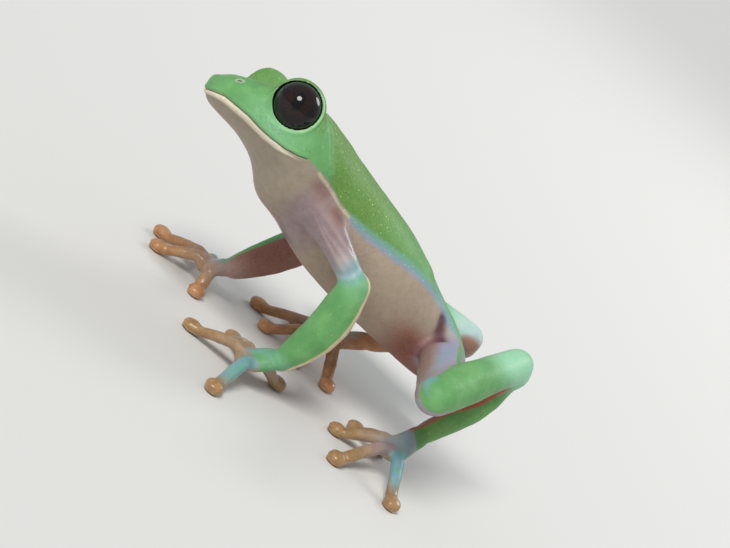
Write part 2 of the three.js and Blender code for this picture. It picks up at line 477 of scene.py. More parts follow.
def drop_islands(mesh):
    with editing(mesh) as bm:
        unseen, islands = set(bm.verts), []
        while unseen:
            islands.append(island_from(unseen.pop(), unseen))
        islands.sort(key=len, reverse=True)
        counts = [len(island) for island in islands]
        for island in islands[1:]:
            bmesh.ops.delete(bm, geom=island, context="VERTS")
    return counts


print("islands:", drop_islands(skin_mesh))

# %% [markdown]
# ## Landmarks of the head
# The mouth of a frog is one long shallow curve from the snout to behind the eye. It, the lip below it, the
# edge of the green and the lower edge of the flank stripe are each a line in the body's measure: a few pairs
# of a share of the body length and a height in mm.

# %% Lines along the head and flank
mouth_line = (
    (0.003, -1.0), (0.012, -0.85), (0.027, -0.7), (0.052, -1.0), (0.084, -1.35), (0.122, -1.85),
    (0.159, -2.15), (0.195, -2.25), (0.228, -2.0), (0.248, -1.65),
)
lip_line = (
    (0.0, -1.45), (0.034, -1.5), (0.06, -1.8), (0.102, -2.25), (0.143, -2.7), (0.19, -3.0),
    (0.233, -2.85), (0.262, -1.9),
)
green_line = (
    (0.248, -1.65), (0.277, -1.5), (0.305, -1.25), (0.33, -0.95), (0.36, -0.75), (0.39, -0.65),
    (0.431, 0.02), (0.482, 1.16), (0.533, 2.28), (0.579, 3.25), (0.637, 4.44), (0.693, 5.15),
    (0.743, 5.5), (0.8, 5.48), (0.85, 4.8), (0.886, 4.0), (0.93, 3.0), (1.0, 2.0),
)
stripe_line = (
    (0.32, -1.5), (0.39, -1.3), (0.435, -0.67), (0.498, 0.4), (0.549, 1.5), (0.612, 2.75),
    (0.673, 3.95), (0.746, 4.6), (0.8, 4.4), (0.844, 3.6), (0.88, 2.9), (0.93, 2.2), (1.0, 1.5),
)
mouth_corner = mouth_line[-1][0]
nostril_share, nostril_out, nostril_height = 0.036, 4.0, 2.55


def read_line(line, place):
    """The second number of a line of pairs, read at any place between them."""
    return np.interp(place, *zip(*line))


def mouth_gap(share, height):
    return height - read_line(mouth_line, share)


def green_edge(share, height):
    return height - read_line(mouth_line + green_line[1:], share)


print("the mouth runs", round(mouth_corner * body_length, 1), "mm back from the snout")

# %% Divide the head's faces where detail is needed
mouth_detail, corner_detail = 0.55, 0.012
nostril_detail, rim_detail = 1.3, 0.8
head_share = 0.3


def near_detail(points):
    share, out, height = body_measure(points)
    near_mouth = np.abs(mouth_gap(share, height)) < mouth_detail
    mouth = near_mouth & (share < mouth_corner + corner_detail)
    nostrils = np.zeros(len(points), bool)
    rims = np.zeros(len(points), bool)
    for side, sign in sides.items():
        hole = room_place(nostril_share, sign * nostril_out, nostril_height)
        nostrils |= np.linalg.norm(points - hole, axis=1) < nostril_detail
        far, ahead, beside = eye_measure(points, side)
        rims |= rim_distance(ahead, beside) < rim_detail
    return mouth | nostrils | rims


def divide(mesh, chosen_faces):
    with editing(mesh) as bm:
        bm.faces.ensure_lookup_table()
        edges = {edge for index in np.flatnonzero(chosen_faces) for edge in bm.faces[int(index)].edges}
        bmesh.ops.subdivide_edges(bm, edges=list(edges), cuts=1, use_grid_fill=True)


def place_points(mesh, points):
    mesh.vertices.foreach_set("co", points.astype(np.float32).ravel())
    mesh.update()


divide(skin_mesh, body_measure(read_threes(skin_mesh.polygons, "center"))[0] < head_share)
divide(skin_mesh, near_detail(read_threes(skin_mesh.polygons, "center")))
print(len(skin_mesh.vertices), "points after dividing the head")

# %% [markdown]
# Dividing a face leaves its new points on flat quads, a little off the true surface. Each is moved along
# its normal by the distance that the volume gives there, which takes two or three short steps.

# %% Settle the points on the surface


def sampled(values, points):
    place = points / cell - first_cell
    low = np.clip(np.floor(place).astype(int), 0, cell_counts - 2)
    share = place - low
    total = np.zeros(len(points))
    for corner in np.ndindex(2, 2, 2):
        weight = np.prod(np.where(corner, share, 1 - share), axis=1)
        total += weight * values[tuple((low + corner).T)]
    return total


settling_steps = 3
for step in range(settling_steps):
    points = read_threes(skin_mesh.vertices, "co")
    away = sampled(flesh_field, points)
    place_points(skin_mesh, points - read_threes(skin_mesh.vertices, "normal") * away[:, None])
print("farthest point off the surface:", round(float(np.abs(away).max()), 3), "mm")

# %% [markdown]
# ## Which bone is each point on?
# Colours and folds change along each limb, so every point of the skin is measured against every bone: how
# far off, how far along, and on which face of the limb. Each bone has a lookout, the way that its upper
# face looks. Another way is to paint such regions by hand, but paint has to be done again each time that a
# shape changes.

# %% Set which way each upper face looks
points = read_threes(skin_mesh.vertices, "co")
normals = read_threes(skin_mesh.vertices, "normal")
share, out, height = body_measure(points)
lookouts = {
    "upper_arm": (0.88, -0.39, 0.26), "forearm": (0.82, -0.56, 0.1), "forearm_right": (0.93, -0.45, 0.1),
    "hand": (0.45, -0.25, 0.85), "finger": (0, 0, 1), "thigh": (0.35, 0.7, 0.6), "shank": (0.5, 0.05, 0.86),
    "tarsus": (0.93, 0.35, 0.15), "foot": (0.4, 0.2, 0.9), "toe": (0, 0, 1),
}


def kind_of(name):
    return name.rsplit("_", 1)[0].rstrip("_12345")


print("kinds of bone:", ", ".join(sorted({kind_of(name) for name in bones})))

# %% Measure every point against every bone
least_offset = 0.01


class Bone:
    """One bone, and how every point of the skin lies from it."""

    def __init__(self, name, start, end):
        self.name, self.kind, self.side = name, kind_of(name), name.rsplit("_", 1)[1]
        axis = end - start
        self.length = np.linalg.norm(axis)
        axis = axis / self.length
        lookout = np.array(lookouts.get(name, lookouts[self.kind]), float)
        lookout[0] *= sides[self.side]
        lookout -= axis * (lookout @ axis)
        lookout /= np.linalg.norm(lookout)
        beside = np.cross(axis, lookout) * sides[self.side]
        own = solid(name)[0] - start
        own_along = own @ axis
        self.radius = np.median(np.linalg.norm(own - own_along[:, None] * axis, axis=1))
        away = points - start
        self.along = away @ axis
        self.share = np.clip(self.along / self.length, 0, 1)
        offset = away - (self.share * self.length)[:, None] * axis
        far = np.linalg.norm(offset, axis=1)
        self.gap = far - self.radius
        across = away - self.along[:, None] * axis
        self.turn = np.arctan2(across @ beside, across @ lookout)
        self.front_turn = -np.sign(beside[1]) * self.turn
        self.open = np.arccos(np.clip(offset @ lookout / np.maximum(far, least_offset), -1, 1))


measured = {name: Bone(name, *ends) for name, ends in bones.items()}
print("forearm radius", round(float(measured["forearm_left"].radius), 2), "mm")

# %% [markdown]
# A point near two bones belongs a little to both, which lets a marking run across a joint without a step.
# The nearer bone gets the larger weight. Folds use a narrow blend of the weights, and colours use a wide
# one.

# %% Share each point out between the bones
blend_width, tint_width = 0.35, 1.1
gaps = np.stack([sampled(body_flesh, points)] + [bone.gap for bone in measured.values()])


def shares_of(gaps, width):
    weights = np.exp((gaps.min(axis=0) - gaps) / width)
    return weights / weights.sum(axis=0)


def bones_of(side, *kinds):
    return [measured[f"{kind}_{side}"] for kind in kinds]


body_weight, *weights = shares_of(gaps, blend_width)
body_tint, *tint_weights = shares_of(gaps, tint_width)
for bone, weight, tint_weight in zip(measured.values(), weights, tint_weights):
    bone.weight, bone.tint = weight, tint_weight
print("head and trunk own", round(float(body_weight.mean() * 100)), "% of the points")

# %% [markdown]
# ## Folds and creases
# Each fold is a small push of the skin along its normal, as deep as a rounded bump or groove of a given
# width. Doing it on the mesh, not only in the shading, keeps the outline honest from every side.

# %% Helpers for ridges and grooves


def everywhere(value):
    return np.full(len(points), float(value))


def ramp(value, starts, over):
    return smooth((value - starts) / over)


def fade(value, ends, over):
    return smooth((ends - value) / over)


def bump(distance, width):
    return np.exp(-((distance / width) ** 2))


relief = everywhere(0)


def fold(distance, rise, width, where=1.0):
    """Raise a rounded ridge of skin, or press a groove where the rise is less than nothing."""
    relief[:] += rise * bump(distance, width) * where


print("a bump one width away is", round(float(bump(1.0, 1.0)), 2), "of its height")

# %% Helpers for distances on the body
far_off = 9.0


def distance_to(place):
    return np.linalg.norm(points - place, axis=1)


def line_distance(places):
    best = everywhere(np.inf)
    for start, end in zip(places, places[1:]):
        span = end - start
        part = np.clip((points - start) @ span / (span @ span), 0, 1)
        best = np.minimum(best, distance_to(start + part[:, None] * span))
    return best


def gap_to(*places):
    """How far each point is from a line through places of the body, or from its twin on the other side."""
    shares, outs, heights = np.transpose(places)
    return np.minimum(*[line_distance(room_place(shares, sign * outs, heights)) for sign in sides.values()])


from_knee = distance_to(bones["shank_left"][0])
print("the farthest point from the left knee is", round(float(from_knee.max())), "mm off")

# %% A slow noise, for skin that is nowhere quite even
lattice_size = 32


def slow_noise(size, seed):
    lattice = np.random.default_rng(seed).random((lattice_size,) * 3)
    place = points / size
    low = np.floor(place).astype(int)
    part = smooth(place - low)
    total = np.zeros(len(points))
    for corner in np.ndindex(2, 2, 2):
        index = (low + corner) % lattice_size
        total += np.prod(np.where(corner, part, 1 - part), axis=1) * lattice[tuple(index.T)]
    return total * 2 - 1


print("the noise repeats after", lattice_size, "times its size")

# %% [markdown]
# The mouth is a fine groove with a soft roll above it and a pale lip below. Each nostril is a pit with a
# raised rim, placed at the point of the mesh that is nearest, so that it lies evenly on the faces.

# %% Mouth, lips and nostrils
upper_roll, lip_crease, thinnest_lip = 0.38, 0.1, 0.2
nostril_roll = 0.55
mouth = mouth_gap(share, height)
mouth_height = read_line(mouth_line, share)
lip_height = read_line(lip_line, share)
lip_middle = (lip_height + mouth_height) / 2
lip_half = (mouth_height - lip_height) / 2
on_mouth = fade(share, ends=mouth_corner + 0.006, over=0.014) * body_weight
on_lip = on_mouth * fade(share, ends=mouth_corner, over=0.07)
fold(mouth, rise=-0.16, width=0.09, where=on_mouth)
fold(mouth - upper_roll, rise=0.12, width=0.3, where=on_mouth)
fold((height - lip_middle) / np.maximum(lip_half, thinnest_lip), rise=0.16, width=0.8, where=on_lip)
fold(height - lip_middle + lip_half + lip_crease, rise=-0.08, width=0.22, where=on_lip)
nostril_gap = everywhere(far_off)
for sign in sides.values():
    hole = room_place(nostril_share, sign * nostril_out, nostril_height)
    hole = points[distance_to(hole).argmin()]
    nostril_gap = np.minimum(nostril_gap, distance_to(hole))
fold(nostril_gap, rise=-0.34, width=0.26)
fold(nostril_gap - nostril_roll, rise=0.1, width=0.25)
print("mouth and nostrils move", int((np.abs(relief) > 0.02).sum()), "points")

# %% [markdown]
# A frog breathes by pumping its throat, so a resting one often shows a small pouch there, with the chest
# slimmer behind it. The top of the snout is pressed flatter than the solids have it.

# %% Throat pouch, chest and snout
pouch_share, chest_share = 0.263, 0.372
under = fade(height, ends=-3.5, over=3) * body_weight
pouch_along = (share - pouch_share) * body_length
chest_along = (share - chest_share) * body_length
fold(pouch_along, rise=1.05, width=2.2, where=bump(out, 6.0) * under)
fold(chest_along, rise=-0.45, width=3.5, where=bump(out, 5.0) * under)
snout_top = ramp(height, starts=1.2, over=1.6) * fade(share, ends=0.15, over=0.09) * body_weight
snout_tip = snout_top * fade(share, ends=0.05, over=0.05)
relief -= 0.38 * snout_top + 0.3 * snout_tip
print("the pouch stands", round(float(relief.max()), 2), "mm proud")

# %% Folds round the eye
body_up = room_place(0.2, 0, 1) - room_place(0.2, 0, 0)
rear_low = room_place(0.25, 0, -1) - room_place(0.2, 0, 0)
rear_low /= np.linalg.norm(rear_low)
lid_roll = (4.4, -0.1)
lid_grooves = ((4.0, 0.6, -0.12, 0.22), (5.1, -1.0, -0.1, 0.3))
eye_gap, roll_near, pale_rim = everywhere(far_off), everywhere(far_off), everywhere(-far_off)
for side in sides:
    far, ahead, beside = eye_measure(points, side)
    rim = rim_distance(ahead, beside)
    eye_gap = np.minimum(eye_gap, rim)
    from_eye = points - eye_centres[side]
    below = fade(from_eye @ body_up, ends=1.8, over=3)
    roll_gap = np.hypot(beside - lid_roll[0], ahead - lid_roll[1])
    fold(roll_gap, rise=0.2, width=0.45, where=below)
    roll_near = np.minimum(roll_near, roll_gap + 2 * (1 - below))
    for groove_beside, groove_ahead, rise, width in lid_grooves:
        fold(np.hypot(beside - groove_beside, ahead - groove_ahead), rise, width, where=below)
    front_thinning = 0.22 * fade(from_eye @ rear_low / eye_radius, ends=0.5, over=1)
    pale_rim = np.maximum(pale_rim, rim_thickness - rim - front_thinning)
print("the rims cover", int((eye_gap < 0.3).sum()), "points")

# %% Cheek fold, snout ridge and ear
cheek_fold = ((0.255, 8.2, 4.0), (0.275, 9.2, 2.8), (0.295, 9.5, 1.6), (0.318, 9.3, 0.3))
snout_ridge = ((0.015, 3.2, 1.2), (0.045, 5.4, 1.6), (0.08, 6.7, 1.9), (0.105, 7.3, 2.3))
ear_share, ear_out, ear_height, ear_radius = 0.245, 9.9, 0.5, 0.95
fold_shares, fold_outs, fold_heights = zip(*reversed(cheek_fold))
back_from = np.interp(height, fold_heights, fold_shares)
cheek_gap, ridge_gap = gap_to(*cheek_fold), gap_to(*snout_ridge)
ears = [room_place(ear_share, sign * ear_out, ear_height) for sign in sides.values()]
ear_gap = np.minimum(*[distance_to(ear) for ear in ears])
fold(cheek_gap, rise=-0.07, width=0.25)
fold(cheek_gap - 0.6, rise=0.07, width=0.5, where=share > back_from)
fold(ridge_gap, rise=0.05, width=0.9)
fold(ear_gap - ear_radius, rise=0.025, width=0.2)
fold(ear_gap, rise=-0.03, width=0.7)
print("the ears cover", int((ear_gap < ear_radius).sum()), "points")

# %% [markdown]
# The skin of the arm is so thin that tendons and bone show as long raised streaks. Their pale paint is partly
# painted highlight, and a painted highlight also lies on the arm just above the elbow. A pale frill runs down
# the edge of the forearm to the hand, a keel down each side of the tarsus, and wrinkles cross the joints.

# %% Streaks, frills and wrinkles of the limbs
streaks = ((-0.95, 0.0, 0.18), (0.05, 0.3, 0.16), (0.85, 0.0, 0.15))
streak_width = 0.42
frill_turn = keel_turn = 1.5
wrist_wrinkles, elbow_wrinkles = (0.9, 1.35, 1.75), (0.5, 1.0)
sinew_and_highlight = everywhere(0)
for side in sides:
    arm, forearm, hand, tarsus = bones_of(side, "upper_arm", "forearm", "hand", "tarsus")
    tight = ramp(arm.along, starts=-2.5, over=3) * fade(arm.share, ends=1.02, over=0.2)
    tight *= fade(arm.gap, ends=1.2, over=1)
    for turn, begins, rise in streaks:
        bend = turn * (1.25 - 0.45 * arm.share)
        strand = bump((arm.turn - bend) * arm.radius, streak_width) * tight
        strand *= ramp(arm.share, starts=begins - 0.15, over=0.3)
        relief += rise * strand
        sinew_and_highlight = np.maximum(sinew_and_highlight, strand * (0.2 + 0.5 * arm.share))
    # Painted highlight: a pale patch on the front of the arm above the elbow, stored with the streaks.
    elbow_highlight = bump(arm.share - 0.78, 0.18) * bump(arm.turn * arm.radius, 1.6) * tight
    sinew_and_highlight = np.maximum(sinew_and_highlight, 0.95 * elbow_highlight)
    for place in wrist_wrinkles:
        fold(forearm.along - forearm.length + place, rise=-0.06, width=0.13, where=forearm.weight)
    elbow_front = forearm.weight * fade(np.abs(forearm.turn), ends=1.2, over=1)
    for place in elbow_wrinkles:
        fold(forearm.along - place, rise=-0.06, width=0.14, where=elbow_front)
    for bone in (forearm, hand):
        fold((bone.front_turn + frill_turn) * bone.radius, rise=0.16, width=0.3, where=bone.weight)
    fold((np.abs(tarsus.turn) - keel_turn) * tarsus.radius, rise=0.12, width=0.35, where=tarsus.weight)
print("streaks cover", int((sinew_and_highlight > 0.1).sum()), "points")

# %% Hollows, spine and hips
shoulder_gap = gap_to((0.323, 8.85, -2.4), (0.34, 8.85, -2.3))
armpit_gap = gap_to((0.393, 9.35, -2.05), (0.405, 9.6, -2.05))
groin_gap = gap_to((0.828, 4.2, 3.4), (0.836, 5.0, 2.3), (0.838, 6.8, 1.2))
fold(shoulder_gap, rise=-0.12, width=0.9)
fold(armpit_gap, rise=-0.2, width=0.8)
fold(groin_gap, rise=-0.3, width=0.8)
hump_share = 0.62
hip_share, hip_out = 0.735, 3.0
blade_share, blade_out, blade_stretch = 0.37, 4.6, 1.6
spine = ramp(share, starts=0.3, over=0.1) * fade(share, ends=1, over=0.1)
spine *= ramp(height, starts=0, over=3) * body_weight
hip_gap = np.hypot((share - hip_share) * body_length, np.abs(out) - hip_out)
blade_gap = np.hypot((share - blade_share) * body_length / blade_stretch, np.abs(out) - blade_out)
fold(out, rise=0.12, width=0.7, where=spine * ramp(share, starts=hump_share, over=0.1))
fold(out, rise=-0.1, width=0.9, where=spine * fade(share, ends=hump_share, over=0.1))
fold(hip_gap, rise=0.25, width=1.7, where=spine)
fold(blade_gap, rise=0.16, width=1.4, where=spine)
relief += 0.05 * slow_noise(2.6, seed=3) * smooth(1 - on_mouth) + 0.02 * slow_noise(0.9, seed=4)
print("relief runs from", round(float(relief.min()), 2), "to", round(float(relief.max()), 2), "mm")

# %% [markdown]
# A tree frog's digits end in round sticky discs. Each has a groove round its rim, above the part that
# rests, and each digit has a knuckle with a crease. Nothing is moved where a foot rests on the floor.

# %% Discs and knuckles
rest_height = 0.05
disc_groove, disc_pad = 0.62, 0.3
knuckle_share = 0.45
for bone in measured.values():
    if bone.kind not in digit_counts:
        continue
    on_disc = fade(np.abs(bone.along - bone.length), ends=1.7, over=0.4) * bone.weight
    fold(points[:, 2] - disc_groove, rise=-0.09, width=0.13, where=on_disc)
    fold(points[:, 2] - disc_pad, rise=0.06, width=0.2, where=on_disc)
    from_knuckle = bone.along - knuckle_share * bone.length
    fold(from_knuckle, rise=0.07, width=0.5, where=bone.weight)
    fold(from_knuckle, rise=-0.04, width=0.12, where=bone.weight)
relief *= ramp(points[:, 2], starts=rest_height, over=0.25)
place_points(skin_mesh, points + normals * relief[:, None])
raised_points = read_threes(skin_mesh.vertices, "co")
print("lowest point", round(float(raised_points[:, 2].min()), 3), "mm")

# %% [markdown]
# ## Markings as distances
# A leaf frog is green above and pale below, with a turquoise edge, lilac arms and orange fingers. Each
# marking is kept on the skin as a number for every point: how many mm inside its edge the point lies, or
# how strong it is. The shader turns those numbers into colour, so an edge can be sharp or soft, and can
# wander a little as in life.

# %% Where the green ends on each limb
green_spans = {
    "upper_arm": -20, "forearm": 92, "hand": 82, "finger": -20,
    "thigh": 34, "shank": 112, "tarsus": 100, "foot": 62, "toe": -20,
}
green_stops = {"hand_left": 3.6, "hand_right": 0.2, "foot_left": 0.9, "foot_right": 0.9}
green_stops["forearm_right"] = measured["forearm_right"].length + 0.2
tarsus_fold = ((4.0, -0.08), (8.0, 0.0), (10.3, 0.25), (12.8, 0.85), (14.0, 1.2), (17.5, 1.6), (20.0, 1.9))
elbow_slant, elbow_margin, frill_margin = 0.5, 0.15, 0.35
knee_spread = 1.6


def past_elbow(side):
    """How far each point is past the elbow, along a line that slants as the edge of the green does there."""
    arm, forearm = bones_of(side, "upper_arm", "forearm")
    return arm.along - arm.length + elbow_slant * np.maximum(forearm.along, 0)


def before_fold(tarsus):
    """How far round the tarsus each point still is from the line where it folds against the shank."""
    return (read_line(tarsus_fold, tarsus.along) - tarsus.front_turn) * tarsus.radius


def inside_green(bone):
    inside = (math.radians(green_spans[bone.kind]) - bone.open) * bone.radius
    if bone.kind == "upper_arm":
        inside = np.maximum(inside, past_elbow(bone.side) + elbow_margin)
    if bone.kind == "thigh":
        inside += knee_spread * ramp(bone.share, starts=0.8, over=0.2)
    if bone.kind in ("forearm", "hand"):
        frill_side = (frill_turn + bone.front_turn) * bone.radius + frill_margin
        inside = np.where(bone.front_turn < -1, frill_side, inside)
    if bone.kind == "forearm":
        inside = np.minimum(inside, past_elbow(bone.side) + elbow_margin)
    if bone.kind == "tarsus":
        inside = np.minimum(inside, before_fold(bone))
    if bone.name in green_stops:
        inside = np.minimum(inside, green_stops[bone.name] - bone.along)
    return inside


forearm_green = inside_green(measured["forearm_left"]) * measured["forearm_left"].weight
print("the left forearm's green has", int((forearm_green > 0).sum()), "points")

# %% Add up the green of body and limbs
green_reach, body_reach = 3, 1.2
green = np.clip(green_edge(share, height), -body_reach, green_reach) * body_weight
for bone in measured.values():
    green += np.clip(inside_green(bone), -green_reach, green_reach) * bone.weight
print("green covers", round(float((green > 0).mean() * 100)), "% of the points")

# %% [markdown]
# Where a leg folds at the knee and the heel, neither bone's own measure fits. The green there is a round
# cap, measured as an angle from the way that the joint faces, and it is blended over the two bones.

# %% Green caps on knees and heels
knee_lookout, heel_lookout = np.array([0.83, -0.25, 0.66]), np.array([0.96, 0.0, 0.57])
knee_span, heel_span = math.radians(70), math.radians(112)
joint_reach = 1.2
knee_turquoise_highlight = everywhere(0)
for side, sign in sides.items():
    thigh, shank, tarsus = bones_of(side, "thigh", "shank", "tarsus")
    joints = ((thigh, shank, knee_lookout, knee_span), (shank, tarsus, heel_lookout, heel_span))
    for first, second, lookout, span in joints:
        facing = points - bones[second.name][0]
        facing /= np.linalg.norm(facing, axis=1)[:, None]
        middle = lookout * (sign, 1, 1) / np.linalg.norm(lookout)
        cap = ramp(first.along - first.length, starts=-joint_reach, over=joint_reach)
        cap *= fade(second.along, ends=joint_reach, over=joint_reach) * (first.weight + second.weight)
        inside = (span - np.arccos(np.clip(facing @ middle, -1, 1))) * second.radius
        green += (inside - green) * cap
        if first is thigh:
            # A turquoise painted highlight on the top of the knee, laid on with the turquoise further on.
            knee_turquoise_highlight += bump(inside - 0.6, 1.0) * cap * bump(first.front_turn - 1.75, 0.5)
print("with its caps, green covers", round(float((green > 0).mean() * 100)), "% of the points")

# %% Flank stripe, lip, rims and openings
marks = {"green": green}
stripe_overlap, stripe_least = 0.3, 0.1
above_stripe = read_line(green_line, share) + stripe_overlap - height
below_stripe = height - read_line(stripe_line, share)
flank = np.minimum(above_stripe, below_stripe)
lip = np.minimum(-mouth, height - lip_middle + lip_half)
slit_half, hole_radius, rim_spread = 0.045, 0.36, 0.06


def on_body(values):
    return values * body_weight - (1 - body_weight)


marks["stripe_rise"] = below_stripe / np.maximum(above_stripe + below_stripe, stripe_least)
marks["stripe"] = on_body(flank - 1.2 * fade(share, ends=0.46, over=0.12))
marks["lip"] = on_body(lip - 0.6 * ramp(share, starts=0.17, over=0.08))
marks["rim"] = pale_rim + rim_spread
marks["sinew_and_highlight"] = sinew_and_highlight
# Painted shade: a dark line in the mouth's crease, and a near-black fill in each nostril's opening.
marks["slit_shade"] = np.where(share < mouth_corner, slit_half - np.abs(mouth), -1.0)
marks["hole"] = hole_radius - nostril_gap
print("marks so far:", ", ".join(marks))

# %% [markdown]
# Under the green, each limb runs through its own tints, given here as a strength at the start of a bone and
# one at its end. The leg on the right is folded away from the light, so it has a table of its own: warmer,
# and with more dark blush, which is painted shade.

# %% Lilac, violet, orange and red along each limb
tints = {
    "upper_arm": {"lilac": (0.9, 1.0)},
    "forearm": {"blush": (0.8, 0.9), "lilac": (0.3, 0.2)},
    "hand": {"lilac": (0.8, 0.3), "orange": (0.1, 0.7)},
    "finger": {"lilac": (0.35, 0.0), "orange": (0.55, 1.0)},
    "thigh": {"violet": (0.9, 0.7), "lilac": (0.3, 0.3)},
    "shank": {"lilac": (0.6, 0.5), "blush": (0.2, 0.2)},
    "tarsus": {"blush": (0.5, 0.6), "orange": (0.3, 0.4)},
    "foot": {"violet": (1.0, 0.9), "orange": (0.0, 0.3)},
    "toe": {"violet": (0.2, 0.0), "orange": (0.55, 1.0)},
}
right_leg_tints = {
    "shank": {"blush": (0.5, 0.6), "ember": (0.2, 0.0)},
    "tarsus": {"blush": (0.6, 0.6), "lilac": (0.3, 0.0), "ember": (0.0, 0.7)},
    "foot": {"blush": (0.5, 0.3), "ember": (0.6, 0.6)},
}
tip_ember, right_ember = 0.2, {"left": 0, "right": 0.45}
thigh_band = ((4, 1.05), (8.2, 1.2), (12.9, 1.45), (17.5, 1.75), (20, 2.2))
for tint in ("lilac", "violet", "orange", "ember", "blush", "turquoise", "mist_and_painted_light", "frost_highlight", "pale", "plum_shade"):
    marks[tint] = everywhere(0)


def tint_thigh(bone):
    inner = ramp(bone.front_turn, starts=1.25, over=0.8) * bone.tint
    marks["violet"] *= 1 - 0.85 * inner
    marks["blush"] += inner * (0.45 + 0.5 * fade(bone.along, ends=7, over=6))
    # Painted shade: dark plum on the inner face of the thigh.
    marks["plum_shade"] += 0.22 * inner
    band = bump(bone.front_turn - read_line(thigh_band, bone.along), 0.3)
    marks["turquoise"] += 0.5 * band * ramp(bone.along, starts=2, over=4) * bone.tint


for bone in measured.values():
    own_tints = tints[bone.kind]
    if bone.side == "right":
        own_tints = right_leg_tints.get(bone.kind, own_tints)
    for tint, (at_start, at_end) in own_tints.items():
        marks[tint] += (at_start + (at_end - at_start) * smooth(bone.share)) * bone.tint
    if bone.kind in digit_counts:
        marks["ember"] += (tip_ember * smooth(2 * bone.share - 1) + right_ember[bone.side]) * bone.tint
    if bone.kind == "thigh":
        tint_thigh(bone)
print("orange reaches", round(float(marks["orange"].max()), 2))

# %% [markdown]
# Turquoise runs over the outer finger and toe, the wrist and the elbow, and a milky mist lies where green
# meets bare skin. The same mark also carries painted light: a painted highlight on the right wrist, and paler
# paint on the left foot that lifts the shade cast by the shank. A pale painted highlight lies on each elbow.
# The two sides differ a little in strength, partly as they do on one animal and partly for the painted light.

# %% Turquoise, mist, painted highlights and painted light on elbows, hands and feet
wrist_mist_and_highlight = {"left": 0.35, "right": 0.6}
hand_turquoise = {"left": 0.7, "right": 0.2}
foot_painted_light = {"left": 0.4, "right": 0.0}
wrist_violet = {"left": 0.0, "right": 1.1}


def upper_face(bone):
    return fade(np.abs(bone.turn), ends=2.0, over=0.8) * bone.weight


for side, sign in sides.items():
    finger, toe, next_toe = bones_of(side, "finger_4", "toe_5", "toe_4")
    marks["turquoise"] += 0.95 * fade(finger.share, ends=1.1, over=0.6) * upper_face(finger)
    marks["turquoise"] += fade(toe.share, ends=1.05, over=0.7) * upper_face(toe)
    marks["violet"] += 1.3 * fade(next_toe.share, ends=0.9, over=0.6) * upper_face(next_toe)
    arm, forearm, hand, foot = bones_of(side, "upper_arm", "forearm", "hand", "foot")
    elbow_gap = distance_to(bones[forearm.name][0])
    near_elbow = fade(elbow_gap, ends=4, over=1.5) * (arm.weight + forearm.weight)
    slant = past_elbow(side)
    marks["mist_and_painted_light"] += bump(elbow_gap, 3.0) * arm.tint
    marks["turquoise"] += (0.9 * bump(elbow_gap, 3.0) + 0.2) * arm.weight * forearm.tint * 2
    marks["turquoise"] += 0.5 * bump(forearm.along - forearm.length, 2.2) * upper_face(forearm)
    marks["turquoise"] += (0.18 * bump(slant + 0.9, 0.9) + 0.4 * bump(slant - 0.4, 0.8)) * near_elbow
    # A pale painted highlight along each elbow, just above where the green begins.
    marks["frost_highlight"] += 0.4 * bump(slant + 0.2, 0.6) * near_elbow
    # Mist at the wrists; its greater strength on the right is a painted highlight.
    marks["mist_and_painted_light"] += wrist_mist_and_highlight[side] * bump(hand.along, 1.6) * hand.tint
    for bone, place in ((forearm, forearm.length), (hand, 1.2)):
        band = bump(bone.along - place, 1.9) * fade(np.abs(bone.turn), ends=1.7, over=0.9)
        marks["violet"] += wrist_violet[side] * band * bone.tint
    outer_hand = upper_face(hand) * smooth(bump(hand.turn * sign - 0.5, 1.0))
    marks["turquoise"] += hand_turquoise[side] * outer_hand + 0.5 * upper_face(foot)
    # Painted light: paler paint on the top of the left foot, lifting the shade that the shank casts there.
    marks["mist_and_painted_light"] += foot_painted_light[side] * upper_face(foot)
# Turquoise painted highlight on the knees.
marks["turquoise"] += 0.8 * knee_turquoise_highlight
print("turquoise reaches", round(float(marks["turquoise"].max()), 2))

# %% Throat, belly, and painted shade in the hollows
marks["throat"] = fade(share, ends=0.39, over=0.15) * body_tint
lower_rear = ramp(share, starts=0.62, over=0.2) * fade(height, ends=2.0, over=5)
marks["blush"] += 0.9 * lower_rear * body_tint
# The shoulder and armpit hollows get reddish blush, which is the skin's own, and with the groin, dark plum
# that is painted shade.
marks["blush"] += 0.55 * bump(shoulder_gap, 2.0) + 0.65 * bump(armpit_gap, 1.6)
marks["plum_shade"] += bump(groin_gap, 1.15) + 0.3 * bump(shoulder_gap, 1.7) + 0.4 * bump(armpit_gap, 1.3)
marks["violet"] *= 1 - 0.8 * bump(groin_gap, 1.5)
chest = ramp(share, starts=0.26, over=0.08) * fade(share, ends=0.46, over=0.1)
chest *= fade(height, ends=1.0, over=2.5)
marks["lilac"] += 0.75 * chest * body_tint
marks["lilac"] *= 1 - 0.5 * bump(shoulder_gap, 1.8) - 0.6 * bump(armpit_gap, 1.4)
print("lilac reaches", round(float(marks["lilac"].max()), 2))

# %% [markdown]
# Fine lines finish the pattern: a pale one along each frill, a red one where the tarsus folds, and a cream
# piping along the edge of the green behind the mouth. Warmer green goes on the back, and cooler green on
# the cheek.

# %% Fine lines
frill_half, fold_half, piping_half = 0.27, 0.4, 0.34
fold_shift, piping_shift = 0.25, 0.3
right_thinning = {"left": 0, "right": 0.3}


def off_bone(bone):
    return 2 * smooth(1 - 2 * bone.tint)


